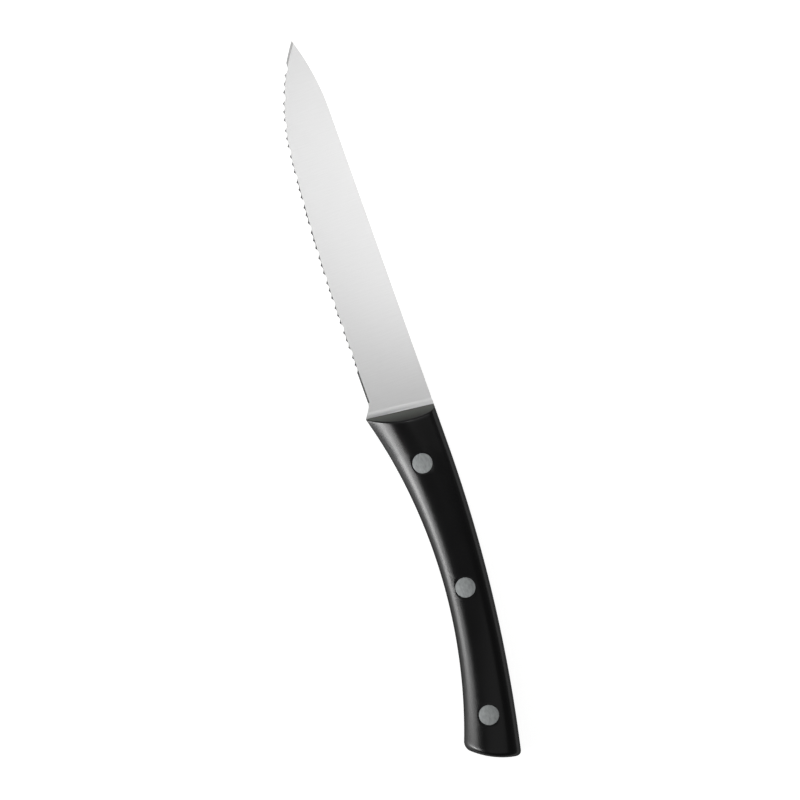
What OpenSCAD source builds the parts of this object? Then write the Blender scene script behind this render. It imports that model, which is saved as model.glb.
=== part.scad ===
// Table steak knife with a serrated blade and a riveted handle, lying on its side.
// The blade points along +Y with its back towards +X. The handle's lower side rests on Z = 0,
// and the origin is under the middle of the whole knife. All lengths are in millimetres.
// Inside the modules the drawing starts from the corner where the blade's back enters the
// handle, with Z = 0 in the middle of the blade's thickness.

/* [Blade] */
// Length of the blade in front of the handle, along its back
blade_length = 122.3; // [95:0.1:150]
// Width of the blade at its heel
blade_width = 19.4; // [16:0.1:23]
// Thickness of the ground blade along its back
blade_thickness = 1.8; // [1.4:0.05:2]
// Thickness of the blade at its point
point_thickness = 0.5; // [0.4:0.05:0.8]
// Distance from the handle at which the faces start to close towards the point
taper_start = 50; // [20:1:70]
// How far the point lies below the line of the back
point_drop = 3.9; // [2:0.1:7]
// Radius on which the back drops to the point
back_drop_radius = 76; // [50:1:150]
// Distance from the handle at which the edge leaves its straight line
belly_start = 30; // [15:1:60]
// Radius of the long curve of the edge
belly_radius = 600; // [300:10:900]
// Radius of the curve that takes the edge to the point
point_radius = 70; // [50:1:100]

/* [Ground faces] */
// Distance from the handle at which the ground faces begin
face_start = 2; // [1:0.1:5]
// Radius of the grinding wheel's corner, which the run-out of the faces keeps
runout_radius = 3; // [2:0.5:8]
// Thickness of the blade just behind the edge bevels
edge_thickness = 0.36; // [0.3:0.02:0.6]
// Angle of each edge bevel to the middle of the blade
bevel_angle = 20; // [15:1:30]
// Width of the flat that is left on the edge itself
edge_flat = 0.03; // [0.02:0.01:0.1]
// Angle of the ramp from the handle down to the edge
heel_angle = 33; // [20:1:50]
// Radius that blends the heel ramp into the edge
heel_radius = 3; // [1:0.5:6]

/* [Serrations] */
// Distance from the handle to the first scallop
teeth_start = 17.2; // [12:0.1:30]
// Least length of plain edge left before the point
plain_point = 5; // [3:0.5:20]
// Width of each of the two small scallops in a group
short_pitch = 2.45; // [1.5:0.05:4]
// Width of the large scallop in a group
long_pitch = 3.35; // [2:0.05:6]
// Depth of a small scallop in the middle of the blade's thickness
short_depth = 0.8; // [0.4:0.05:1.5]
// Depth of a large scallop in the middle of the blade's thickness
long_depth = 1.1; // [0.5:0.05:2]
// Angle at which the scallops are ground into the lower face
grind_angle = 30; // [20:1:45]

/* [Handle outline] */
// Length of the handle along its back
handle_length = 113.2; // [95:0.1:140]
// How far the handle's belly corner reaches ahead of its back at the blade
front_rise = 2.5; // [0:0.1:5]
// How far the butt's belly corner stays ahead of its back corner
butt_rise = 8; // [2:0.1:12]
// Length of the handle's back that carries on straight from the blade
back_straight = 13.3; // [0:0.1:30]
// Radius of the bow of the back behind that
back_radius = 458; // [300:1:700]
// Width from the line of the blade's back to the waist of the belly
waist_width = 15.7; // [13:0.1:20]
// Distance of the waist behind the front of the handle
waist_place = 42.7; // [30:0.1:60]
// Radius of the hollow belly side
belly_hollow_radius = 173; // [150:1:300]
// How far the middle of the butt bulges out of a straight cut
butt_bulge = 1.37; // [0:0.01:3]
// Corner radius of the butt at the belly
belly_corner = 2; // [1:0.1:4]
// Corner radius of the butt at the back
back_corner = 1.5; // [1:0.1:4]

/* [Tang and scales] */
// Thickness of the tang between the scales
tang_thickness = 2; // [2:0.1:3]
// Height of a scale from the tang to its crest
scale_height = 5.5; // [4.6:0.1:8]
// Height of the upright side wall of a scale
side_wall = 0.8; // [0.3:0.05:1.5]
// Share of the handle's width from the belly to the crest
crest_share = 0.59; // [0.45:0.01:0.7]
// Exponent that shapes the crown on the belly side of the crest, at a handle width of waist_width
belly_power = 0.6; // [0.4:0.05:0.8]
// Power of the handle's width with which that exponent grows, so that the wide ends are rounder
belly_growth = 2; // [0:0.1:2.5]
// Exponent that shapes the fuller crown on the back side of the crest
back_power = 0.4; // [0.3:0.05:1]
// Lean of the scales' front face away from upright
front_lean = 31; // [0:1:40]
// Length over which the scales lose that lean
lean_run = 15; // [10:1:40]
// Rounding of the crown's edge at the front face
front_round = 0.5; // [0.2:0.05:1]
// Rounding of the crown's edge at the butt
butt_round = 1.2; // [0.5:0.1:2]

/* [Rivets] */
// Distance of the front rivet behind the front of the handle
front_rivet_place = 16.45; // [12:0.1:25]
// Distance of the middle rivet behind the front of the handle
middle_rivet_place = 57.6; // [45:0.1:70]
// Distance of the rear rivet behind the front of the handle
rear_rivet_place = 97.7; // [85:0.1:100]
// Share of the handle's width from the belly to the front rivet
front_rivet_share = 0.457; // [0.35:0.001:0.6]
// Share of the handle's width from the belly to the middle rivet
middle_rivet_share = 0.447; // [0.35:0.001:0.6]
// Share of the handle's width from the belly to the rear rivet
rear_rivet_share = 0.489; // [0.35:0.001:0.6]
// Diameter of the rivet heads
head_diameter = 6.3; // [5.5:0.1:7.5]
// Height above the tang at which the heads seat in the scales
seat_height = 2.8; // [2:0.1:3.2]
// Outer diameter of the barrel half's shank
barrel_diameter = 4; // [3.5:0.1:4.8]
// Diameter of the pin half's shank
pin_diameter = 2.6; // [2:0.1:3]
// Length that the barrel's end stays short of the pin's head
barrel_gap = 1; // [0.5:0.1:2]
// Length that the pin's end stays short of the barrel's head
pin_gap = 1.4; // [0.5:0.1:3]
// Difference in diameter between a head and its counterbore
head_clearance = 0.12; // [0.02:0.01:0.3]
// Difference in diameter between the barrel and the holes that it passes through
barrel_clearance = 0.1; // [0.02:0.01:0.3]
// Difference in diameter between the pin and the barrel's bore
pin_clearance = 0.02; // [0:0.01:0.1]

/* [Hidden] */
$fn = 96;
steel = "#c9c9c6";
rivet_steel = "#8a8c8b";
black_plastic = "#1b1b1d";
// How far cutters run past what they cut
overrun = 1;
// Facets across the crown, half of them on each side of its crest
crown_steps = 24;
// Facets along the plain part and each rounded end of the handle
run_steps = 44;
end_steps = 8;
// Facets along each curved stretch of the blade's outline
outline_steps = 32;
// Flat strips that make up the faces where they close towards the point
taper_steps = 12;
// Segments in a full turn of the edge's large radii
large_fn = 3600;

// Outline of the handle, seen from above: the x of each side at a place along the knife
function belly_x(y) =
    -waist_width - belly_hollow_radius + sqrt(pow(belly_hollow_radius, 2) - pow(y + waist_place, 2));
function back_x(y) =
    y > -back_straight ? 0 : sqrt(pow(back_radius, 2) - pow(y + back_straight, 2)) - back_radius;

// Length of the handle along its middle, and the length at its end that is rounded in some way
handle_run = handle_length + (front_rise - butt_rise) / 2;
end_run = max(belly_corner, back_corner, butt_round);

// What a corner or an edge of radius r takes off at a distance s from the end it rounds
function rounded_off(s, r) = s < r ? r - sqrt(r * r - pow(r - s, 2)) : 0;

// Sections across the handle, by their distance from its front
sections = concat(
    [for (i = [0 : end_steps - 1]) front_round * (1 - cos(90 * i / end_steps))],
    [for (i = [0 : run_steps - 1]) front_round + (handle_run - end_run - front_round) * i / run_steps],
    [for (i = [0 : end_steps]) handle_run - end_run * (1 - sin(90 * i / end_steps))]
);

// The straight line of a section: its two ends on the sides of the handle
function section_belly(s) =
    let (y = front_rise - (front_rise + handle_length - butt_rise) * s / handle_run) [belly_x(y), y];
function section_back(s) =
    let (y = -handle_length * s / handle_run) [back_x(y), y];

// How far a section's middle is carried out towards the butt
bulge_run = 6 * end_run;
function bulge_at(s) = butt_bulge * pow(max(0, 1 - (handle_run - s) / bulge_run), 2);

// Place of a point on a section, by its share v of the width, and the direction towards the butt
function along(s) =
    let (across = section_back(s) - section_belly(s)) [across.y, -across.x] / norm(across);
function outline_point(s, v) =
    let (
        belly = section_belly(s),
        across = section_back(s) - belly,
        from_end = handle_run - s,
        belly_share = rounded_off(from_end, belly_corner) / norm(across),
        back_share = rounded_off(from_end, back_corner) / norm(across),
        w = belly_share + v * (1 - belly_share - back_share)
    )
    belly + across * w + along(s) * bulge_at(s) * 4 * w * (1 - w);

// Height of the crown above the tang
function crown_power(s, v) =
    v < crest_share
        ? belly_power * pow(norm(section_back(s) - section_belly(s)) / waist_width, belly_growth)
        : back_power;
function crown_share(s, v) =
    let (u = (v - crest_share) / (v < crest_share ? crest_share : 1 - crest_share))
    pow(max(0, 1 - u * u), crown_power(s, v));
function crown_height(s, v) =
    let (fall = rounded_off(s, front_round) + rounded_off(handle_run - s, butt_round))
    (side_wall + (scale_height - side_wall) * crown_share(s, v)) * (1 - fall / scale_height);

// A point of the crown, leaning back with the front face
function lean_at(s) = tan(front_lean) * max(0, 1 - s / lean_run);
function crown_point(s, v) =
    let (z = crown_height(s, v), p = outline_point(s, v) + along(s) * z * lean_at(s))
    [p.x, p.y, z];

// Shares of the width at which the crown has points: one on the crest, and the rest closest
// together at the steep sides
crown_shares = concat(
    [for (i = [0 : crown_steps / 2 - 1]) crest_share * (1 - cos(180 * i / crown_steps))],
    [for (i = [0 : crown_steps / 2]) crest_share + (1 - crest_share) * sin(180 * i / crown_steps)]
);

// Outline of the tang, flush with the scales, from its front back corner round the butt
tang_back = [for (s = sections) outline_point(s, 1)];
tang_butt = [for (i = [crown_steps - 1 : -1 : 1]) outline_point(handle_run, crown_shares[i])];
tang_belly = [for (i = [len(sections) - 1 : -1 : 0]) outline_point(sections[i], 0)];
tang_outline = concat(tang_back, tang_butt, tang_belly);

// The edge of the blade: a straight line, a long curve and a tighter one that meets the point
tip = [-point_drop, blade_length];
belly_centre = [belly_radius - blade_width, belly_start];
to_tip = tip - belly_centre;
reach = belly_radius - point_radius;
turn = acos((reach * reach + to_tip * to_tip - point_radius * point_radius) / (2 * reach * norm(to_tip)));
join_angle = atan2(to_tip.y, to_tip.x) + turn;
point_centre = belly_centre + reach * [cos(join_angle), sin(join_angle)];
tip_angle = atan2(tip.y - point_centre.y, tip.x - point_centre.x);
join_y = belly_centre.y + belly_radius * sin(join_angle);
function edge_x(y) =
    y < belly_start ? -blade_width :
    y < join_y ? belly_centre.x - sqrt(pow(belly_radius, 2) - pow(y - belly_centre.y, 2)) :
    point_centre.x - sqrt(pow(point_radius, 2) - pow(y - point_centre.y, 2));

// The ramp and its blend between the handle's belly corner and the edge, which lies inside that
// corner on a narrow blade and outside it on a wide one
heel_corner = outline_point(0, 0);
heel_step = abs(blade_width + heel_corner.x);
heel_side = sign(blade_width + heel_corner.x);
heel_blend = min(heel_radius, heel_step / (1 - cos(heel_angle)));
edge_start = heel_corner.y + heel_step / tan(heel_angle) + heel_blend * tan(heel_angle / 2);

// The back of the blade drops to the point on an arc that is tangent to it
drop_start = blade_length - sqrt(point_drop * (2 * back_drop_radius - point_drop));
function drop_x(y) = sqrt(pow(back_drop_radius, 2) - pow(y - drop_start, 2)) - back_drop_radius;

// Outline of the blade from the heel ramp along the edge to the tip and back along the drop
heel_part = [
    for (i = [0 : end_steps])
        let (a = -heel_angle * (1 - i / end_steps))
        [-blade_width + heel_side * heel_blend * (1 - cos(a)), edge_start + heel_blend * sin(a)]
];
edge_part = [
    for (i = [0 : 2 * outline_steps])
        let (y = belly_start + (blade_length - belly_start) * i / (2 * outline_steps)) [edge_x(y), y]
];
drop_part = [
    for (i = [outline_steps - 1 : -1 : 0])
        let (y = drop_start + (blade_length - drop_start) * i / outline_steps) [drop_x(y), y]
];
blank_outline = concat(tang_outline, heel_part, edge_part, drop_part);

// Middle of the whole knife, which stands over the origin
low_x = min([for (p = blank_outline) p.x]);
low_y = min([for (p = blank_outline) p.y]);
middle = [low_x / 2, (blade_length + low_y) / 2, -tang_thickness / 2 - scale_height];

// Angles of the ground faces and the radius on which they close towards the point
front_skew = atan2(front_rise, -heel_corner.x);
face_tilt = atan((blade_thickness - edge_thickness) / 2 / blade_width);
point_fall = (blade_thickness - point_thickness) / 2 - point_drop * tan(face_tilt);
taper_run = blade_length - face_start - taper_start;
taper_radius = (taper_run * taper_run + point_fall * point_fall) / (2 * point_fall);

// Places of the teeth along the knife: groups of two small scallops and a large one
group_pitch = 2 * short_pitch + long_pitch;
tooth_groups = floor((blade_length - plain_point - teeth_start) / group_pitch);

// Length of a rivet between the seats of its heads, and the stretch of the crown on each side of
// its middle from which a head takes its shape
grip = tang_thickness + 2 * seat_height;
head_reach = 3 * head_diameter / 2;

// How far the edge bevels reach in from the edge, and the angle by which they run past the point
bevel_reach = edge_thickness / tan(bevel_angle);
past_point = atan(overrun / point_radius);

module in_place() {
    translate(-middle) children();
}

// Region that the grinding wheel takes off one face, seen along the width of the blade
module face_profile() {
    taper_end = blade_length + overrun;
    taper_line = [
        for (i = [0 : taper_steps])
            let (y = taper_start + (taper_end - taper_start) * i / taper_steps)
            [y, sqrt(pow(taper_radius, 2) - pow(y - taper_start, 2)) - taper_radius]
    ];
    translate([0, runout_radius]) circle(runout_radius);
    polygon(concat([[0, 0]], taper_line, [[taper_end, scale_height], [0, scale_height]]));
}

// The same region across the blade, tilted down to the edge and skewed like the handle's front
module ground_face() {
    translate([0, face_start, blade_thickness / 2])
        rotate([0, -face_tilt, 0])
            rotate([0, 0, -front_skew])
                translate([-2 * blade_width, 0, 0])
                    rotate([90, 0, 90])
                        linear_extrude(3 * blade_width) face_profile();
}

// Section of what an edge bevel takes off, with the edge at its origin and outward along x
module bevel_section() {
    polygon([
        [-bevel_reach, edge_flat / 2 + bevel_reach * tan(bevel_angle)],
        [overrun, edge_flat / 2 - overrun * tan(bevel_angle)],
        [overrun, scale_height],
        [-bevel_reach, scale_height]
    ]);
}

module curved_bevel(centre, radius, from_angle, to_angle) {
    translate(centre)
        rotate(from_angle)
            rotate_extrude(angle = to_angle - from_angle, $fn = large_fn)
                translate([radius, 0]) bevel_section();
}

module straight_bevel() {
    translate([-blade_width, edge_start, 0])
        rotate([90, 0, 180])
            linear_extrude(belly_start - edge_start) bevel_section();
}

// Puts its children on the upper face and on the lower one
module both_faces() {
    children();
    mirror([0, 0, 1]) children();
}

// The blank with its ground faces, and with both edge bevels along the straight edge and its curves
module bevelled_blank() {
    difference() {
        difference() {
            translate([0, 0, -tang_thickness / 2]) linear_extrude(tang_thickness) polygon(blank_outline);
            both_faces() ground_face();
            both_faces() straight_bevel();
            both_faces() curved_bevel(point_centre, point_radius, tip_angle - past_point, join_angle);
        }
        both_faces() curved_bevel(belly_centre, belly_radius, join_angle, 180);
    }
}

// One scallop between two points of the edge, ground at an angle from the lower face
module scallop(from_y, to_y, depth) {
    a = [edge_x(from_y), from_y];
    b = [edge_x(to_y), to_y];
    half_width = norm(b - a) / 2;
    cut = depth * sin(grind_angle);
    radius = (half_width * half_width + cut * cut) / (2 * cut);
    pass = 8 * edge_thickness / sin(grind_angle);
    translate((a + b) / 2)
        rotate(atan2(a.y - b.y, a.x - b.x))
            translate([0, depth - radius * sin(grind_angle), -radius * cos(grind_angle)])
                rotate([90 - grind_angle, 0, 0]) cylinder(h = pass, r = radius, center = true);
}

// The same scallop in every group, by where it starts in the group
module scallops(start, pitch, depth) {
    for (i = [0 : tooth_groups - 1]) {
        y = teeth_start + start + i * group_pitch;
        scallop(y, y + pitch, depth);
    }
}

// The bevelled blank with the three scallops of every group ground in, one place after another
module serrated_blank() {
    difference() {
        difference() {
            difference() {
                bevelled_blank();
                scallops(0, short_pitch, short_depth);
            }
            scallops(short_pitch, short_pitch, short_depth);
        }
        scallops(2 * short_pitch, long_pitch, long_depth);
    }
}

// Puts its children at each rivet, or at one rivet alone
module at_rivet(place, share) {
    x = belly_x(-place) + share * (back_x(-place) - belly_x(-place));
    translate([x, -place, 0]) children();
}

module at_all_rivets() {
    at_rivet(front_rivet_place, front_rivet_share) children();
    at_rivet(middle_rivet_place, middle_rivet_share) children();
    at_rivet(rear_rivet_place, rear_rivet_share) children();
}

module blade() {
    color(steel) in_place() difference() {
        serrated_blank();
        at_all_rivets()
            cylinder(h = 2 * tang_thickness, d = barrel_diameter + barrel_clearance, center = true);
    }
}

// Solid of one scale without its holes, or of its stretch between two sections, from the face on
// the tang at Z = 0 to the crown. Each section has its crown points from belly to back and then
// its two lower corners.
module scale_form(from = 0, to = len(sections) - 1) {
    count = crown_steps + 1;
    ring = count + 2;
    last = to - from;
    straight = max([for (i = [0 : last - 1]) bulge_at(sections[from + i]) == 0 ? i : 0]);
    rings = [
        for (i = [from : to])
            for (p = concat(
                [for (v = crown_shares) crown_point(sections[i], v)],
                [for (v = [1, 0]) concat(outline_point(sections[i], v), 0)]
            )) p
    ];
    end_foot = [for (i = [1 : crown_steps - 1]) concat(outline_point(sections[to], crown_shares[i]), 0)];
    function at(i, k) = i * ring + k % ring;
    function foot(k) = k == 0 ? at(last, ring - 1) : k == crown_steps ? at(last, count) : len(rings) + k - 1;
    skin = [
        for (i = [0 : last - 1])
            for (k = [0 : ring - 1])
                if (k != count || i < straight)
                    for (f = [
                        [at(i, k), at(i, k + 1), at(i + 1, k + 1)],
                        [at(i, k), at(i + 1, k + 1), at(i + 1, k)]
                    ]) f
    ];
    front_cap = [[for (k = [ring - 1 : -1 : 0]) at(0, k)]];
    end_cap = [
        for (k = [0 : crown_steps - 1])
            for (f = [
                [at(last, k), at(last, k + 1), foot(k + 1)],
                [at(last, k), foot(k + 1), foot(k)]
            ]) f
    ];
    end_floor = [concat(
        [at(straight, count)],
        [for (i = [straight : last]) at(i, ring - 1)],
        [for (k = [1 : crown_steps]) foot(k)],
        [for (i = [last - 1 : -1 : straight + 1]) at(i, count)]
    )];
    polyhedron(concat(rings, end_foot), concat(skin, front_cap, end_cap, end_floor));
}

// One scale on the upper face of the tang, with its rivet holes and the seats of their heads
module scale_piece() {
    translate([0, 0, tang_thickness / 2]) difference() {
        scale_form();
        at_all_rivets() {
            cylinder(h = 2 * scale_height, d = barrel_diameter + barrel_clearance, center = true);
            translate([0, 0, seat_height]) cylinder(h = scale_height, d = head_diameter + head_clearance);
        }
    }
}

module upper_scale() {
    color(black_plastic) in_place() scale_piece();
}

module lower_scale() {
    color(black_plastic) in_place() mirror([0, 0, 1]) scale_piece();
}

// A rivet head on its seat, ground flush with the crown of the upper scale
module rivet_head(place, share) {
    near = [for (i = [0 : len(sections) - 1]) if (abs(sections[i] - place) < head_reach) i];
    translate([0, 0, tang_thickness / 2]) intersection() {
        scale_form(near[0], near[len(near) - 1]);
        at_rivet(place, share) translate([0, 0, seat_height]) cylinder(h = scale_height, d = head_diameter);
    }
}

// The half with the solid pin, whose head shows on the upper scale
module rivet_pin(place, share) {
    color(rivet_steel) in_place() {
        rivet_head(place, share);
        at_rivet(place, share)
            translate([0, 0, pin_gap - grip / 2]) cylinder(h = grip - pin_gap + overrun, d = pin_diameter);
    }
}

// The half with the barrel, whose head shows on the lower scale
module rivet_barrel(place, share) {
    color(rivet_steel) in_place() difference() {
        union() {
            mirror([0, 0, 1]) rivet_head(place, share);
            at_rivet(place, share)
                translate([0, 0, -grip / 2 - overrun])
                    cylinder(h = grip - barrel_gap + overrun, d = barrel_diameter);
        }
        at_rivet(place, share)
            translate([0, 0, -grip / 2]) cylinder(h = grip, d = pin_diameter + pin_clearance);
    }
}

module front_rivet_pin() {
    rivet_pin(front_rivet_place, front_rivet_share);
}

module front_rivet_barrel() {
    rivet_barrel(front_rivet_place, front_rivet_share);
}

module middle_rivet_pin() {
    rivet_pin(middle_rivet_place, middle_rivet_share);
}

module middle_rivet_barrel() {
    rivet_barrel(middle_rivet_place, middle_rivet_share);
}

module rear_rivet_pin() {
    rivet_pin(rear_rivet_place, rear_rivet_share);
}

module rear_rivet_barrel() {
    rivet_barrel(rear_rivet_place, rear_rivet_share);
}

blade();
upper_scale();
lower_scale();
front_rivet_pin();
front_rivet_barrel();
middle_rivet_pin();
middle_rivet_barrel();
rear_rivet_pin();
rear_rivet_barrel();
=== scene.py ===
# A table steak knife: a ground and serrated stainless blade whose full tang is held between two
# black handle scales by three flush cutler's rivets. It lies on its side on a pale floor.
import math

import bpy
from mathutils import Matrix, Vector


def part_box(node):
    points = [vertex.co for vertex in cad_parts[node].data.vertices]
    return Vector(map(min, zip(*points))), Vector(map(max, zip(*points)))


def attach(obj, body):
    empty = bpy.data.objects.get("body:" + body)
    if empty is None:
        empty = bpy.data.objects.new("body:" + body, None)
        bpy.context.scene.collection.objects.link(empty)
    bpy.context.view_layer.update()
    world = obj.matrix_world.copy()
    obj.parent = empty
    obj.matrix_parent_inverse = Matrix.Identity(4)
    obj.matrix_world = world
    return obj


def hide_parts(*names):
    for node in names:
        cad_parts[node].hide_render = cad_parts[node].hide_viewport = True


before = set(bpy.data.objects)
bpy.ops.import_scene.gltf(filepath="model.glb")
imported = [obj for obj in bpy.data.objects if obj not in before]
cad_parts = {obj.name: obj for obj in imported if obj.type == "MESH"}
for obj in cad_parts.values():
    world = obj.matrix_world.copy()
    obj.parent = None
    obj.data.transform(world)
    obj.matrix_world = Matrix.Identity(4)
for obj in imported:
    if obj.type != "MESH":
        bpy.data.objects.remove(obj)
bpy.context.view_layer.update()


# The blade and its tang: one piece of stainless steel sheet, blanked to its outline, ground flat
# on both faces and serrated from one side. The grinding belt runs from the back to the edge, so
# very fine lines cross the faces, while the honed bevels between the scallops stay smooth.
MM = 0.001
STEEL_LIGHT = "dedede"
STEEL_DARK = "d9d9d9"
# The belt's real lines are finer than a pixel, so they are drawn wider apart, in millimetres
GRIND_LINE_SPACING = 0.28
GRIND_LINE_STRETCH = (0.04, 1.0, 0.2)
GRIND_LINE_DEPTH = 0.01
GRIND_LINE_STRENGTH = 0.08
GROUND_ROUGHNESS = (0.36, 0.5)
RUN_OUT_ROUGHNESS = 0.56
HONED_ROUGHNESS = 0.12
# How far the surface's normal leans, across and along the knife, where each finish begins and
# is complete
HONED_TILTS = (-0.12, -0.28)
RUN_OUT_TILTS = (0.03, 0.12)
# A noise seldom leaves the middle of its range, so the two tones lie at these values of it
NOISE_MIDDLE = (0.3, 0.7)


def linear(hex_colour):
    """Turns an sRGB hex colour into the linear values that a shader takes."""
    parts = [int(hex_colour[i : i + 2], 16) / 255 for i in (0, 2, 4)]
    return (
        *(c / 12.92 if c <= 0.04045 else ((c + 0.055) / 1.055) ** 2.4 for c in parts),
        1.0,
    )


def add_node(tree, kind, inputs=None, settings=None, **values):
    """Adds a node with its settings. An input that gets a socket is linked, any other is set."""
    node = tree.nodes.new(kind)
    for key, value in (settings or {}).items():
        setattr(node, key, value)
    named = {key.replace("_", " "): value for key, value in values.items()}
    for key, value in (named | (inputs or {})).items():
        if isinstance(value, bpy.types.NodeSocket):
            tree.links.new(value, node.inputs[key])
        else:
            node.inputs[key].default_value = value
    return node


def new_material(name):
    """Starts a material with its output node only, and gives both."""
    material = bpy.data.materials.new(name)
    material.use_nodes = True
    material.node_tree.nodes.clear()
    output = add_node(material.node_tree, "ShaderNodeOutputMaterial")
    return material, output


def ground_stainless():
    """Stainless sheet finished on a fine belt: an even satin with faint lines across it, duller
    where the wheel runs out by the handle, and sharper and darker on the honed bevels."""
    material, output = new_material("ground_stainless_steel")
    tree = material.node_tree
    coordinates = add_node(tree, "ShaderNodeTexCoord")
    stretched = add_node(
        tree,
        "ShaderNodeMapping",
        {"Vector": coordinates.outputs["Object"]},
        Scale=[share / MM for share in GRIND_LINE_STRETCH],
    ).outputs["Vector"]
    lines = add_node(
        tree,
        "ShaderNodeTexNoise",
        {"Vector": stretched},
        Scale=1 / GRIND_LINE_SPACING,
        Detail=3.0,
        Roughness=0.6,
    ).outputs["Fac"]
    tone = add_node(tree, "ShaderNodeValToRGB", {"Fac": lines}).outputs["Color"]
    ramp = tone.node.color_ramp
    ramp.elements[0].position, ramp.elements[1].position = NOISE_MIDDLE
    ramp.elements[0].color, ramp.elements[1].color = linear(STEEL_DARK), linear(STEEL_LIGHT)
    normal = add_node(tree, "ShaderNodeSeparateXYZ", {"Vector": coordinates.outputs["Normal"]})
    honed = add_node(
        tree,
        "ShaderNodeMapRange",
        {"Value": normal.outputs["X"]},
        From_Min=HONED_TILTS[0],
        From_Max=HONED_TILTS[1],
    ).outputs["Result"]
    ground = add_node(
        tree,
        "ShaderNodeMapRange",
        {"Value": lines},
        To_Min=GROUND_ROUGHNESS[0],
        To_Max=GROUND_ROUGHNESS[1],
    ).outputs["Result"]
    ground_or_run_out = add_node(
        tree,
        "ShaderNodeMapRange",
        {"Value": normal.outputs["Y"], "To Min": ground},
        From_Min=RUN_OUT_TILTS[0],
        From_Max=RUN_OUT_TILTS[1],
        To_Max=RUN_OUT_ROUGHNESS,
    ).outputs["Result"]
    rough = add_node(
        tree,
        "ShaderNodeMapRange",
        {"Value": honed, "To Min": ground_or_run_out},
        To_Max=HONED_ROUGHNESS,
    ).outputs["Result"]
    bump = add_node(
        tree,
        "ShaderNodeBump",
        {"Height": lines},
        Strength=GRIND_LINE_STRENGTH,
        Distance=GRIND_LINE_DEPTH * MM,
    ).outputs["Normal"]
    shader = add_node(
        tree,
        "ShaderNodeBsdfPrincipled",
        {"Base Color": tone, "Roughness": rough, "Normal": bump},
        Metallic=1.0,
    )
    tree.links.new(shader.outputs["BSDF"], output.inputs["Surface"])
    return material


blade_steel = ground_stainless()
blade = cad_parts["blade"]
blade.data.materials.clear()
blade.data.materials.append(blade_steel)


# The two scales: black acetal, moulded, riveted to the tang and then ground and buffed with it,
# so the steel and the plastic share one outline. Each has a crown that is steep on the belly side
# and full on the back side, a front face that leans off the blade, and stepped rivet holes.

# Lengths along the knife, in millimetres as all sizes of the pieces are
BLADE_LENGTH = 122.3
HANDLE_LENGTH = 113.2
# How much nearer the point the belly's ends of the front and the butt lie than the back's
FRONT_RISE = 2.5
BUTT_RISE = 8.0
# The back is straight at first and then one arc, and the belly is one hollow arc round the waist
BACK_STRAIGHT = 13.3
BACK_RADIUS = 458.0
WAIST_WIDTH = 15.7
WAIST_PLACE = 42.7
BELLY_HOLLOW_RADIUS = 173.0
# The butt bulges, which fades out over a few times the length of its roundings
BUTT_BULGE = 1.37
BULGE_FADE = 6
BELLY_CORNER = 2.0
BACK_CORNER = 1.5
BUTT_ROUND = 1.2
# The crown over the tang, with its upright walls, the place of its crest across the width and the
# powers that shape its two sides. The belly side's grows with the handle's width.
SCALE_HEIGHT = 5.5
SIDE_WALL = 0.8
CREST_SHARE = 0.59
BELLY_POWER = 0.6
BELLY_GROWTH = 2.0
BACK_POWER = 0.4
WALL_ROUND = 0.35
# The front face, whose lean fades out along the handle
FRONT_LEAN = math.radians(31)
LEAN_RUN = 15.0
FRONT_ROUND = 0.5
# Each rivet's place behind the handle's front, and its share of the width from the belly
RIVETS = {"front": (16.45, 0.457), "middle": (57.6, 0.447), "rear": (97.7, 0.489)}
HEAD_DIAMETER = 6.3
HEAD_CLEARANCE = 0.12
SEAT_HEIGHT = 2.8
HOLE_DIAMETER = 4.1
RIM_ROUND = 0.07

HANDLE_RUN = HANDLE_LENGTH + (FRONT_RISE - BUTT_RISE) / 2
END_RUN = max(BELLY_CORNER, BACK_CORNER, BUTT_ROUND)
BULGE_RUN = BULGE_FADE * END_RUN

# Where the drawing of the handle starts in the frame: the back's line, the handle's front and
# the two faces of the tang
back_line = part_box("upper_scale")[1].x
front_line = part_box("blade")[1].y - BLADE_LENGTH * MM
tang_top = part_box("upper_scale")[0].z
tang_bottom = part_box("lower_scale")[1].z


def belly_x(y):
    """The belly's line: how far it lies across the knife at a distance y along it."""
    arc = math.sqrt(BELLY_HOLLOW_RADIUS**2 - (y + WAIST_PLACE) ** 2)
    return -WAIST_WIDTH - BELLY_HOLLOW_RADIUS + arc


def back_x(y):
    """The back's line, in the same way."""
    if y > -BACK_STRAIGHT:
        return 0.0
    return math.sqrt(BACK_RADIUS**2 - (y + BACK_STRAIGHT) ** 2) - BACK_RADIUS


def rounded_off(s, r):
    """What a rounding of radius r takes off at a distance s from the end that it rounds."""
    return r - math.sqrt(r * r - (r - s) ** 2) if 0 <= s < r else 0.0


def section_ends(s):
    """The ends of the straight line across the handle at a distance s from its front."""
    y_belly = FRONT_RISE - (FRONT_RISE + HANDLE_LENGTH - BUTT_RISE) * s / HANDLE_RUN
    y_back = -HANDLE_LENGTH * s / HANDLE_RUN
    return Vector((belly_x(y_belly), y_belly)), Vector((back_x(y_back), y_back))


def outline_point(s, v):
    """A point of a scale's foot, by its distance from the front and its share of the width."""
    belly, back = section_ends(s)
    across = back - belly
    towards_butt = Vector((across.y, -across.x)).normalized()
    from_end = HANDLE_RUN - s
    belly_share = rounded_off(from_end, BELLY_CORNER) / across.length
    back_share = rounded_off(from_end, BACK_CORNER) / across.length
    w = belly_share + v * (1 - belly_share - back_share)
    bulge = BUTT_BULGE * max(0.0, 1 - from_end / BULGE_RUN) ** 2
    return belly + across * w + towards_butt * bulge * 4 * w * (1 - w), towards_butt


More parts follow.
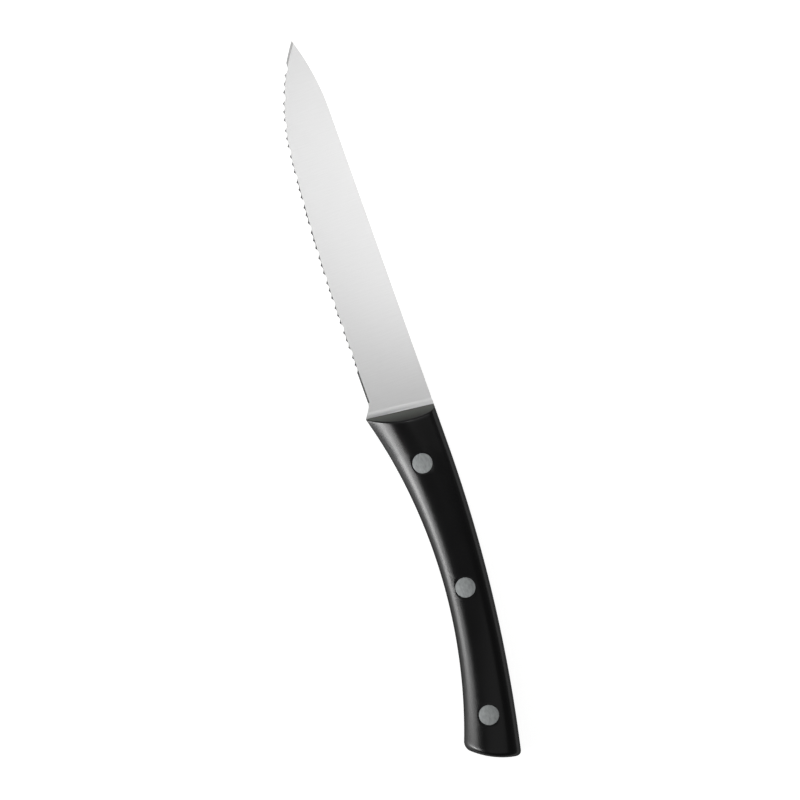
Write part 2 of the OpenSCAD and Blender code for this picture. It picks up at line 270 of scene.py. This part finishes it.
def crown_height(s, v):
    """The crown's height over the tang: full to its crest, and rounded off at both ends."""
    u = (v - CREST_SHARE) / (CREST_SHARE if v < CREST_SHARE else 1 - CREST_SHARE)
    belly, back = section_ends(s)
    growth = ((back - belly).length / WAIST_WIDTH) ** BELLY_GROWTH
    crown = max(0.0, 1 - u * u) ** (BELLY_POWER * growth if u < 0 else BACK_POWER)
    fall = rounded_off(s, FRONT_ROUND) + rounded_off(HANDLE_RUN - s, BUTT_ROUND)
    return (SIDE_WALL + (SCALE_HEIGHT - SIDE_WALL) * crown) * (1 - fall / SCALE_HEIGHT)


def lifted(s, v, z):
    """The point at a height z over the foot, leaning back near the front face."""
    foot, towards_butt = outline_point(s, v)
    lean = math.tan(FRONT_LEAN) * max(0.0, 1 - s / LEAN_RUN)
    p = foot + towards_butt * z * lean
    return Vector((p.x, p.y, z))


def crown_point(s, v):
    return lifted(s, v, crown_height(s, v))


def foot_point(s, v):
    return lifted(s, v, 0.0)


def rivet_axis(name):
    """Where a rivet's axis crosses the tang's face."""
    place, share = RIVETS[name]
    return Vector((belly_x(-place) + share * (back_x(-place) - belly_x(-place)), -place))


SETTLE_STEP = 0.001
SETTLE_ROUNDS = 12


def settle(surface, target, s, v):
    """Finds the s and v at which a surface lies over a point, by Newton's method."""
    for _ in range(SETTLE_ROUNDS):
        p = surface(s, v).to_2d()
        ds = (surface(s + SETTLE_STEP, v).to_2d() - p) / SETTLE_STEP
        dv = (surface(s, v + SETTLE_STEP).to_2d() - p) / SETTLE_STEP
        miss = target - p
        det = ds.x * dv.y - ds.y * dv.x
        s += (miss.x * dv.y - miss.y * dv.x) / det
        v += (ds.x * miss.y - ds.y * miss.x) / det
    return s, v


# The grid of a scale's crown and foot: rows by distance from the front, columns by share of the
# width. Both lie close together at the ends, where the surface turns over.
ROUND_STEPS = 10
CROWN_STEPS = 28
RUN_STEP = 0.8


def eased(steps):
    """Shares from 0 to 1 that lie close together near 0, as those of a quarter turn do."""
    return [1 - math.cos(math.radians(90 * i / steps)) for i in range(steps + 1)]


plain_run = HANDLE_RUN - END_RUN - FRONT_ROUND
plain_steps = round(plain_run / RUN_STEP)
lengths = [FRONT_ROUND * t for t in eased(ROUND_STEPS)[:-1]]
lengths += [FRONT_ROUND + plain_run * i / plain_steps for i in range(plain_steps)]
lengths += [HANDLE_RUN - END_RUN * t for t in reversed(eased(ROUND_STEPS))]
shares = [CREST_SHARE * t for t in eased(CROWN_STEPS)[:-1]]
shares += [1 - (1 - CREST_SHARE) * t for t in reversed(eased(CROWN_STEPS))]


def share_past_rounding(s, v):
    """The share of the width at a crown column, which starts where the belly's rounding ends."""
    width = (crown_point(s, 1.0) - crown_point(s, 0.0)).length
    start = WALL_ROUND / width
    return start + (1 - start) * v


def crown_surface(s, v):
    """The part of the crown that the grid covers, without the rounding along the belly."""
    return crown_point(s, share_past_rounding(s, v))


# Round each rivet the grid is cut open and joined to the hole by rings, which lie at these shares
# of the way from the rim. The search for a rivet starts at the first share of the width.
HOLE_MARGIN = 1.3
HOLE_RINGS = (0.0, 0.3, 0.65)
FIRST_SHARE = 0.45


def grid_window(axis):
    """The rows and columns of the grid that frame a rivet, with room round its head."""
    s_mid, v_mid = settle(crown_surface, axis, -axis.y, FIRST_SHARE)
    reach = HEAD_DIAMETER / 2 + HOLE_MARGIN
    far = [(crown_surface(s_mid, v).to_2d() - axis).length > reach for v in shares]
    return (
        max(i for i, s in enumerate(lengths) if s < s_mid - reach),
        min(i for i, s in enumerate(lengths) if s > s_mid + reach),
        max(j for j, v in enumerate(shares) if v < v_mid and far[j]),
        min(j for j, v in enumerate(shares) if v > v_mid and far[j]),
    )


def holed_grid(points, faces, surface, radius, outward):
    """Covers a surface with quads and leaves a round hole in it at each rivet."""
    first = len(points)
    columns = len(shares)
    for s in lengths:
        points.extend(surface(s, v) for v in shares)

    def at(i, j):
        return first + i * columns + j

    def quad(a, b, c, d):
        faces.append((a, b, c, d) if outward else (d, c, b, a))

    cut = set()
    rims = []
    for axis in map(rivet_axis, RIVETS):
        i_low, i_high, j_low, j_high = grid_window(axis)
        s_mid, v_mid = settle(surface, axis, -axis.y, FIRST_SHARE)
        cut.update((i, j) for i in range(i_low, i_high) for j in range(j_low, j_high))
        border = (
            [(i_low, j) for j in range(j_low, j_high)]
            + [(i, j_high) for i in range(i_low, i_high)]
            + [(i_high, j) for j in range(j_high, j_low, -1)]
            + [(i, j_low) for i in range(i_high, i_low, -1)]
        )
        rings = [[] for _ in HOLE_RINGS]
        for i, j in border:
            out = (points[at(i, j)].to_2d() - axis).normalized()
            s_rim, v_rim = settle(surface, axis + out * radius, s_mid, v_mid)
            for ring, t in zip(rings, HOLE_RINGS):
                ring.append(len(points))
                s_ring = s_rim + (lengths[i] - s_rim) * t
                v_ring = v_rim + (shares[j] - v_rim) * t
                points.append(surface(s_ring, v_ring))
        rings.append([at(i, j) for i, j in border])
        for inner, outer in zip(rings, rings[1:]):
            for k in range(len(border)):
                m = (k + 1) % len(border)
                quad(inner[k], outer[k], outer[m], inner[m])
        rims.append(rings[0])
    for i in range(len(lengths) - 1):
        for j in range(columns - 1):
            if (i, j) not in cut:
                quad(at(i, j), at(i, j + 1), at(i + 1, j + 1), at(i + 1, j))
    return at, rims


def strip(faces, low, high, closed, outward):
    """Joins two rows of the same number of points with quads."""
    for k in range(len(low) if closed else len(low) - 1):
        m = (k + 1) % len(low)
        face = (low[k], low[m], high[m], high[k])
        faces.append(face if outward else face[::-1])


WALL_STEPS = 5
TANGENT_STEP = 0.01
END_BORDER = 0.12
MOUTH_ANGLES = (30, 60, 90)


def scale_mesh(name, side):
    """Makes one scale as a closed shell. side is 1 for the upper scale and -1 for the lower."""
    points, faces = [], []
    bore = HOLE_DIAMETER / 2
    counterbore = (HEAD_DIAMETER + HEAD_CLEARANCE) / 2
    crown, crown_rims = holed_grid(points, faces, crown_surface, counterbore + RIM_ROUND, True)
    foot, foot_rims = holed_grid(points, faces, foot_point, bore, False)
    last_length, last_share = len(lengths) - 1, len(shares) - 1

    # The rounded edge between the upright belly wall and the crown, a curve with its middle where
    # the crown's tangent meets the wall, and then the two walls
    belly_columns = []
    for i, s in enumerate(lengths):
        high = points[crown(i, 0)]
        next_share = share_past_rounding(s, 0.0) * (1 + TANGENT_STEP)
        corner = high - (crown_point(s, next_share) - high) / TANGENT_STEP
        low = lifted(s, 0.0, max(corner.z - WALL_ROUND, corner.z / 2))
        column = [foot(i, 0)]
        for step in range(WALL_STEPS):
            t = step / WALL_STEPS
            column.append(len(points))
            points.append(low * (1 - t) ** 2 + corner * 2 * t * (1 - t) + high * t * t)
        column.append(crown(i, 0))
        belly_columns.append(column)
    for left, right in zip(belly_columns, belly_columns[1:]):
        strip(faces, left, right, False, True)
    for i in range(last_length):
        back = (crown(i, last_share), foot(i, last_share))
        back_next = (crown(i + 1, last_share), foot(i + 1, last_share))
        strip(faces, back, back_next, False, True)

    # The front face and the butt, each with a narrow border inside its outline
    for i, is_front in ((0, True), (last_length, False)):
        ring = belly_columns[i] + [crown(i, j) for j in range(1, last_share + 1)]
        ring += [foot(i, j) for j in range(last_share, 0, -1)]
        middle = sum((points[k] for k in ring), Vector((0, 0, 0))) / len(ring)
        border = []
        for k in ring:
            border.append(len(points))
            points.append(points[k] + (middle - points[k]).normalized() * END_BORDER)
        strip(faces, ring, border, True, not is_front)
        faces.append(tuple(border[::-1]) if is_front else tuple(border))

    # The stepped rivet holes, from their rounded mouths past the seat to the tang
    for axis, mouth, end in zip(map(rivet_axis, RIVETS), crown_rims, foot_rims):
        outs = [(points[k].to_2d() - axis).normalized() for k in mouth]
        steps = []
        for angle in MOUTH_ANGLES:
            turn = math.radians(angle)
            drop = RIM_ROUND * (1 - math.cos(turn))
            radius = counterbore + RIM_ROUND * (1 - math.sin(turn))
            steps.append((radius, [points[k].z - drop for k in mouth]))
        seat = [SEAT_HEIGHT] * len(mouth)
        steps += [(counterbore, seat), (bore, seat)]
        ring = mouth
        for radius, heights in steps:
            ring_next = []
            for out, height in zip(outs, heights):
                at = axis + out * radius
                ring_next.append(len(points))
                points.append(Vector((at.x, at.y, height)))
            strip(faces, ring, ring_next, True, True)
            ring = ring_next
        strip(faces, ring, end, True, True)
    return placed_mesh(name, points, faces, side)


SHARP_ANGLE = math.radians(38)


def placed_mesh(name, points, faces, side):
    """Turns points of the drawing, over the tang's face, into an object in the frame."""
    level = tang_top if side > 0 else tang_bottom
    mesh = bpy.data.meshes.new(name)
    mesh.from_pydata(
        [(back_line + p.x * MM, front_line + p.y * MM, level + side * p.z * MM) for p in points],
        [],
        faces if side > 0 else [face[::-1] for face in faces],
    )
    mesh.validate()
    mesh.shade_smooth()
    mesh.set_sharp_from_angle(angle=SHARP_ANGLE)
    piece = bpy.data.objects.new(name, mesh)
    bpy.context.collection.objects.link(piece)
    return piece


PLASTIC_BLACK = "050506"
PLASTIC_WORN = "080809"
# Painted light: the front faces' grey stands for the light they catch from the blade and the floor
FRONT_FACE_PAINTED_GREY = "6e706c"
ACETAL_IOR = 1.46
BUFFED_ROUGHNESS = 0.19
MOULDED_ROUGHNESS = 0.6
WALL_ROUGHNESS = 0.85
# How far the surface's normal points forward, or up or down, where the front face's matt finish
# and painted grey, and then the walls' duller finish, begin and are complete
FRONT_FACE_TILTS = (0.78, 0.84)
WALL_TILTS = (0.8, 0.5)
# The front face's painted grey, which stands for the light it catches, at two heights from the
# tang's middle: full, and almost gone
PAINTED_GREY_HEIGHTS = (1.5, 7.0)
PAINTED_GREY_SHARES = (1.0, 0.2)
WEAR_SHARE = 0.18
WEAR_SIZE = 14.0
GRAIN_SIZE = 0.5
# The wheel's real lines are finer than a pixel, so fewer and wider ones are drawn
BUFFING_LINES_PER_MM = 2.2
BUFFING_LINE_STRETCH = (1.0, 0.07, 1.0)
BUFFING_LINE_DEPTH = 0.004
BUFFING_LINE_STRENGTH = 0.3


def polished_acetal():
    """Black acetal, moulded and buffed: a soft gloss with faint buffing lines along the handle.
    The walls, which are ground flush with the tang, are duller, and the front faces, which the
    wheel doesn't reach, keep the mould's matt skin and are painted grey as painted light, lightest
    near the blade."""
    material, output = new_material("polished_black_acetal")
    tree = material.node_tree
    coordinates = add_node(tree, "ShaderNodeTexCoord")
    place = coordinates.outputs["Object"]
    along = add_node(
        tree,
        "ShaderNodeMapping",
        {"Vector": place},
        Scale=[share / MM for share in BUFFING_LINE_STRETCH],
    ).outputs["Vector"]
    lines = add_node(
        tree, "ShaderNodeTexNoise", {"Vector": along}, Scale=BUFFING_LINES_PER_MM, Detail=3.0
    ).outputs["Fac"]
    grain = add_node(
        tree, "ShaderNodeTexNoise", {"Vector": place}, Scale=1 / (GRAIN_SIZE * MM), Detail=2.0
    ).outputs["Fac"]
    wear = add_node(
        tree, "ShaderNodeTexNoise", {"Vector": place}, Scale=1 / (WEAR_SIZE * MM), Detail=3.0
    ).outputs["Fac"]

    # How much painted grey the front face gets for the light it catches, most near the blade, with
    # a little wear all over
    level = add_node(tree, "ShaderNodeSeparateXYZ", {"Vector": place}).outputs["Z"]
    tang_middle = (tang_top + tang_bottom) / 2
    over_middle = add_node(
        tree, "ShaderNodeMath", {0: level, 1: tang_middle}, {"operation": "SUBTRACT"}
    ).outputs["Value"]
    from_middle = add_node(
        tree, "ShaderNodeMath", {0: over_middle}, {"operation": "ABSOLUTE"}
    ).outputs["Value"]
    painted_grey_share = add_node(
        tree,
        "ShaderNodeMapRange",
        {"Value": from_middle},
        From_Min=PAINTED_GREY_HEIGHTS[0] * MM,
        From_Max=PAINTED_GREY_HEIGHTS[1] * MM,
        To_Min=PAINTED_GREY_SHARES[0],
        To_Max=PAINTED_GREY_SHARES[1],
    ).outputs["Result"]
    normal = add_node(tree, "ShaderNodeSeparateXYZ", {"Vector": coordinates.outputs["Normal"]})
    matt_and_painted_grey_front = add_node(
        tree,
        "ShaderNodeMapRange",
        {"Value": normal.outputs["Y"], "To Max": painted_grey_share},
        From_Min=FRONT_FACE_TILTS[0],
        From_Max=FRONT_FACE_TILTS[1],
    ).outputs["Result"]
    wear_and_painted_front_grey = add_node(
        tree, "ShaderNodeMath", {0: wear, 1: WEAR_SHARE, 2: matt_and_painted_grey_front}, {"operation": "MULTIPLY_ADD"}
    ).outputs["Value"]
    # The colour: black, a little worn, and on the front faces the painted grey that stands for
    # caught light
    tone = add_node(tree, "ShaderNodeValToRGB", {"Fac": wear_and_painted_front_grey}).outputs["Color"]
    ramp = tone.node.color_ramp
    ramp.elements[0].color, ramp.elements[1].color = linear(PLASTIC_BLACK), linear(FRONT_FACE_PAINTED_GREY)
    ramp.elements.new(WEAR_SHARE).color = linear(PLASTIC_WORN)

    # The roughness of the buffed and the moulded skin, and then of the walls
    skin_rough = add_node(
        tree,
        "ShaderNodeMapRange",
        {"Value": wear_and_painted_front_grey},
        To_Min=BUFFED_ROUGHNESS,
        To_Max=MOULDED_ROUGHNESS,
    ).outputs["Result"]
    upright = add_node(
        tree, "ShaderNodeMath", {0: normal.outputs["Z"]}, {"operation": "ABSOLUTE"}
    ).outputs["Value"]
    rough = add_node(
        tree,
        "ShaderNodeMapRange",
        {"Value": upright, "To Min": skin_rough},
        From_Min=WALL_TILTS[0],
        From_Max=WALL_TILTS[1],
        To_Max=WALL_ROUGHNESS,
    ).outputs["Result"]
    height = add_node(
        tree, "ShaderNodeMath", {0: lines, 1: grain}, {"operation": "ADD"}
    ).outputs["Value"]
    bump = add_node(
        tree,
        "ShaderNodeBump",
        {"Height": height},
        Strength=BUFFING_LINE_STRENGTH,
        Distance=BUFFING_LINE_DEPTH * MM,
    ).outputs["Normal"]
    shader = add_node(
        tree,
        "ShaderNodeBsdfPrincipled",
        {"Base Color": tone, "Roughness": rough, "Normal": bump},
        IOR=ACETAL_IOR,
    )
    tree.links.new(shader.outputs["BSDF"], output.inputs["Surface"])
    return material


acetal = polished_acetal()
for node, side in (("upper_scale", 1), ("lower_scale", -1)):
    scale = scale_mesh(node + "_polished", side)
    scale.data.materials.append(acetal)
    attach(scale, "root")
    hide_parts(node)


# The three cutler's rivets: turned steel halves pressed together through the tang, a pin half
# from the upper side into a barrel half from the lower one. Their heads are ground flush with the
# crowns, which leaves them duller than the blade, with fine scratches along the handle.
TANG_THICKNESS = 2.0
BARREL_DIAMETER = 4.0
PIN_DIAMETER = 2.6
BORE_DIAMETER = 2.62
# How far each half's shank ends from the other half's seat
BARREL_GAP = 1.0
PIN_GAP = 1.4
HEAD_ROUND = 0.06
# The head's rings: their number of points, their shares of its flat part's radius, and the turn
# of those that round its rim
HEAD_SIDES = 72
HEAD_RINGS = (0.2, 0.4, 0.6, 0.8, 0.96, 1.0)
HEAD_ANGLES = (22.5, 45, 67.5, 90)


def rivet_mesh(name, rivet, side, shank):
    """Makes one half: its head under the crown, and then the rings of its shank from the seat."""
    axis = rivet_axis(rivet)
    radius = HEAD_DIAMETER / 2
    s_mid, v_mid = settle(crown_point, axis, -axis.y, FIRST_SHARE)
    points = [crown_point(s_mid, v_mid)]
    faces = []
    turns = [math.tau * k / HEAD_SIDES for k in range(HEAD_SIDES)]
    outs = [Vector((math.cos(turn), math.sin(turn))) for turn in turns]

    def ring(r, height):
        """Adds a ring of radius r, at the height that a function gives for each point."""
        made = []
        for out in outs:
            target = axis + out * r
            made.append(len(points))
            points.append(Vector((target.x, target.y, height(target))))
        return made

    def under_crown(drop):
        return lambda target: crown_point(*settle(crown_point, target, s_mid, v_mid)).z - drop

    rows = [ring((radius - HEAD_ROUND) * share, under_crown(0.0)) for share in HEAD_RINGS]
    for angle in HEAD_ANGLES:
        turn = math.radians(angle)
        drop = HEAD_ROUND * (1 - math.cos(turn))
        rows.append(ring(radius - HEAD_ROUND * (1 - math.sin(turn)), under_crown(drop)))
    rows += [ring(r, lambda target, z=z: z) for r, z in [(radius, SEAT_HEIGHT)] + shank]
    for k in range(HEAD_SIDES):
        faces.append((0, rows[0][k], rows[0][(k + 1) % HEAD_SIDES]))
    for inner, outer in zip(rows, rows[1:]):
        strip(faces, inner, outer, True, False)
    faces.append(tuple(rows[-1][::-1]))
    return placed_mesh(name, points, faces, side)


RIVET_STEEL_LIGHT = "c3c6c6"
RIVET_STEEL_DARK = "a7aaaa"
RIVET_ROUGHNESS = (0.74, 0.82)
# The real scratches are finer than a pixel, so fewer and wider ones are drawn
SCRATCHES_PER_MM = 2.2
SCRATCH_STRETCH = (1.0, 0.35, 1.0)
SCRATCH_DEPTH = 0.01
SCRATCH_STRENGTH = 0.3


def ground_rivet_steel():
    """Steel ground flush on a belt: a grey, even sheen with short fine scratches."""
    material, output = new_material("belt_ground_rivet_steel")
    tree = material.node_tree
    place = add_node(tree, "ShaderNodeTexCoord").outputs["Object"]
    along = add_node(
        tree,
        "ShaderNodeMapping",
        {"Vector": place},
        Scale=[share / MM for share in SCRATCH_STRETCH],
    ).outputs["Vector"]
    scratches = add_node(
        tree, "ShaderNodeTexNoise", {"Vector": along}, Scale=SCRATCHES_PER_MM, Detail=3.0
    ).outputs["Fac"]
    tone = add_node(tree, "ShaderNodeValToRGB", {"Fac": scratches}).outputs["Color"]
    ramp = tone.node.color_ramp
    ramp.elements[0].position, ramp.elements[1].position = NOISE_MIDDLE
    ramp.elements[0].color = linear(RIVET_STEEL_DARK)
    ramp.elements[1].color = linear(RIVET_STEEL_LIGHT)
    rough = add_node(
        tree,
        "ShaderNodeMapRange",
        {"Value": scratches},
        To_Min=RIVET_ROUGHNESS[0],
        To_Max=RIVET_ROUGHNESS[1],
    ).outputs["Result"]
    bump = add_node(
        tree,
        "ShaderNodeBump",
        {"Height": scratches},
        Strength=SCRATCH_STRENGTH,
        Distance=SCRATCH_DEPTH * MM,
    ).outputs["Normal"]
    shader = add_node(
        tree,
        "ShaderNodeBsdfPrincipled",
        {"Base Color": tone, "Roughness": rough, "Normal": bump},
        Metallic=1.0,
    )
    tree.links.new(shader.outputs["BSDF"], output.inputs["Surface"])
    return material


rivet_steel = ground_rivet_steel()
other_seat = SEAT_HEIGHT - (TANG_THICKNESS + 2 * SEAT_HEIGHT)
pin_shank = [(PIN_DIAMETER / 2, SEAT_HEIGHT), (PIN_DIAMETER / 2, other_seat + PIN_GAP)]
barrel_shank = [
    (BARREL_DIAMETER / 2, SEAT_HEIGHT),
    (BARREL_DIAMETER / 2, other_seat + BARREL_GAP),
    (BORE_DIAMETER / 2, other_seat + BARREL_GAP),
    (BORE_DIAMETER / 2, SEAT_HEIGHT),
]
for rivet in RIVETS:
    for half, side, shank in (("pin", 1, pin_shank), ("barrel", -1, barrel_shank)):
        node = f"{rivet}_rivet_{half}"
        piece = rivet_mesh(node + "_ground", rivet, side, shank)
        piece.data.materials.append(rivet_steel)
        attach(piece, "root")
        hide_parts(node)


# The studio: a white floor, soft boxes low beside the cutting edge, whose reflection is the long
# highlight on the handle, panels over the blade that give it its even grey, and a pale horizon
# under a dim ceiling. Its sizes are in metres.
FLOOR_WHITE = "959593"
FLOOR_GLOW = 0.92
FLOOR_ROUGHNESS = 0.9
FLOOR_REACH = 12.0

floor_mesh = bpy.data.meshes.new("floor")
floor_corners = ((-1, -1), (1, -1), (1, 1), (-1, 1))
floor_mesh.from_pydata(
    [(x * FLOOR_REACH, y * FLOOR_REACH, 0) for x, y in floor_corners], [], [(0, 1, 2, 3)]
)
floor = bpy.data.objects.new("floor", floor_mesh)
bpy.context.collection.objects.link(floor)

# White paint that keeps the knife's shadow. It glows for the camera and in reflections, so that
# the background is white there without more light on the knife.
floor_paint, output = new_material("white_floor")
tree = floor_paint.node_tree
path = add_node(tree, "ShaderNodeLightPath").outputs
seen = path["Is Camera Ray"]
for other_ray in ("Is Glossy Ray", "Is Transmission Ray"):
    seen = add_node(
        tree, "ShaderNodeMath", {0: seen, 1: path[other_ray]}, {"operation": "MAXIMUM"}
    ).outputs["Value"]
glow = add_node(
    tree, "ShaderNodeMath", {0: seen, 1: FLOOR_GLOW}, {"operation": "MULTIPLY"}
).outputs["Value"]
paint = add_node(
    tree,
    "ShaderNodeBsdfPrincipled",
    {"Emission Strength": glow},
    Base_Color=linear(FLOOR_WHITE),
    Roughness=FLOOR_ROUGHNESS,
    Specular_IOR_Level=0.0,
    Emission_Color=linear("ffffff"),
)
tree.links.new(paint.outputs["BSDF"], output.inputs["Surface"])
floor_mesh.materials.append(floor_paint)


def soft_panel(name, radiance, width, height, place, target):
    """Adds a flat soft light of an even brightness that faces a point."""
    light = bpy.data.lights.new(name, "AREA")
    light.shape = "RECTANGLE"
    light.size, light.size_y = width, height
    light.energy = radiance * math.pi * width * height
    panel = bpy.data.objects.new(name, light)
    panel.location = place
    panel.rotation_euler = (Vector(target) - Vector(place)).to_track_quat("-Z", "Y").to_euler()
    panel.visible_camera = False
    bpy.context.collection.objects.link(panel)


SOFT_BOX_DISTANCE = 0.95


def soft_box(name, radiance, angles, y_reach):
    """Adds a panel beside the cutting edge, between two angles in degrees from straight up."""
    middle, half = math.radians(sum(angles) / 2), math.radians(angles[1] - angles[0]) / 2
    out, up = SOFT_BOX_DISTANCE * math.sin(middle), SOFT_BOX_DISTANCE * math.cos(middle)
    height = 2 * SOFT_BOX_DISTANCE * math.tan(half)
    y = sum(y_reach) / 2
    soft_panel(name, radiance, y_reach[1] - y_reach[0], height, (-out, y, up), (0.0, y, 0.0))


def high_panel(name, radiance, height, x_reach, y_reach):
    """Adds a panel that faces down over a part of the knife."""
    x, y = sum(x_reach) / 2, sum(y_reach) / 2
    size = x_reach[1] - x_reach[0], y_reach[1] - y_reach[0]
    soft_panel(name, radiance, *size, (x, y, height), (x, y, 0.0))


# Each light's brightness comes first, and the stretch of the knife's length last
soft_box("butt_soft_box", 13.5, (46, 74), (-0.165, -0.075))
soft_box("butt_soft_box_core", 13.5, (58, 68), (-0.165, -0.075))
soft_box("handle_soft_box", 9.4, (61, 87), (-0.08, 0.02))
soft_box("blade_soft_box", 5.0, (48, 87), (0.02, 0.12))
soft_box("butt_fill", 0.8, (55, 67), (-0.3, -0.18))
high_panel("edge_panel", 1.0, 0.3, (-0.2, -0.02), (0.03, 0.16))
high_panel("middle_panel", 3.6, 0.3, (-0.02, 0.04), (0.03, 0.16))
high_panel("back_panel", 1.0, 0.3, (0.04, 0.4), (0.03, 0.16))
high_panel("far_panel", 0.22, 0.3, (-0.2, 0.4), (0.16, 0.6))
high_panel("heel_panel", 0.6, 0.1, (0.0, 0.06), (0.01, 0.05))
high_panel("handle_panel", 0.3, 0.3, (-0.15, 0.15), (-0.2, -0.093))
# The light that gives the bevel at the point its grey line: its brightness, size, place and aim
soft_panel("tip_panel", 0.42, 0.12, 0.2, (-0.248, 0.307, 0.39), (0.008, 0.114, 0.0065))

# The sky's brightness at heights from 0 at the horizon to 1 straight up
SKY_ENDS = ((0.13, 0.5), (0.6, 0.1))
SKY_MIDDLE = ((0.2, 0.15), (0.5, 0.15))

world = bpy.data.worlds.new("studio")
bpy.context.scene.world = world
world.use_nodes = True
tree = world.node_tree
tree.nodes.clear()
direction = add_node(tree, "ShaderNodeTexCoord").outputs["Generated"]
height = add_node(tree, "ShaderNodeSeparateXYZ", {"Vector": direction}).outputs["Z"]
sky = add_node(tree, "ShaderNodeValToRGB", {"Fac": height}).outputs["Color"]
ramp = sky.node.color_ramp
for element, (place, grey) in zip(ramp.elements, SKY_ENDS):
    element.position, element.color = place, (grey, grey, grey, 1.0)
for place, grey in SKY_MIDDLE:
    ramp.elements.new(place).color = (grey, grey, grey, 1.0)
background = add_node(tree, "ShaderNodeBackground", {"Color": sky})
world_output = add_node(tree, "ShaderNodeOutputWorld")
tree.links.new(background.outputs["Background"], world_output.inputs["Surface"])

# The camera looks straight down, and is turned so that the knife leans in the picture
CAMERA_TURN = math.radians(19.6)
VIEW_WIDTH = 0.2514
VIEW_MIDDLE = (0.0038, -0.0001, 0.0065)
LENS = 240.0
SENSOR = 36.0

camera_data = bpy.data.cameras.new("camera")
camera_data.lens = LENS
camera_data.sensor_width = SENSOR
camera = bpy.data.objects.new("camera", camera_data)
bpy.context.collection.objects.link(camera)
distance = VIEW_WIDTH * LENS / SENSOR
camera.location = Vector(VIEW_MIDDLE) + Vector((0, 0, distance))
camera.rotation_euler = (0, 0, -CAMERA_TURN)
bpy.context.scene.camera = camera
bpy.context.scene.view_settings.view_transform = "Standard"
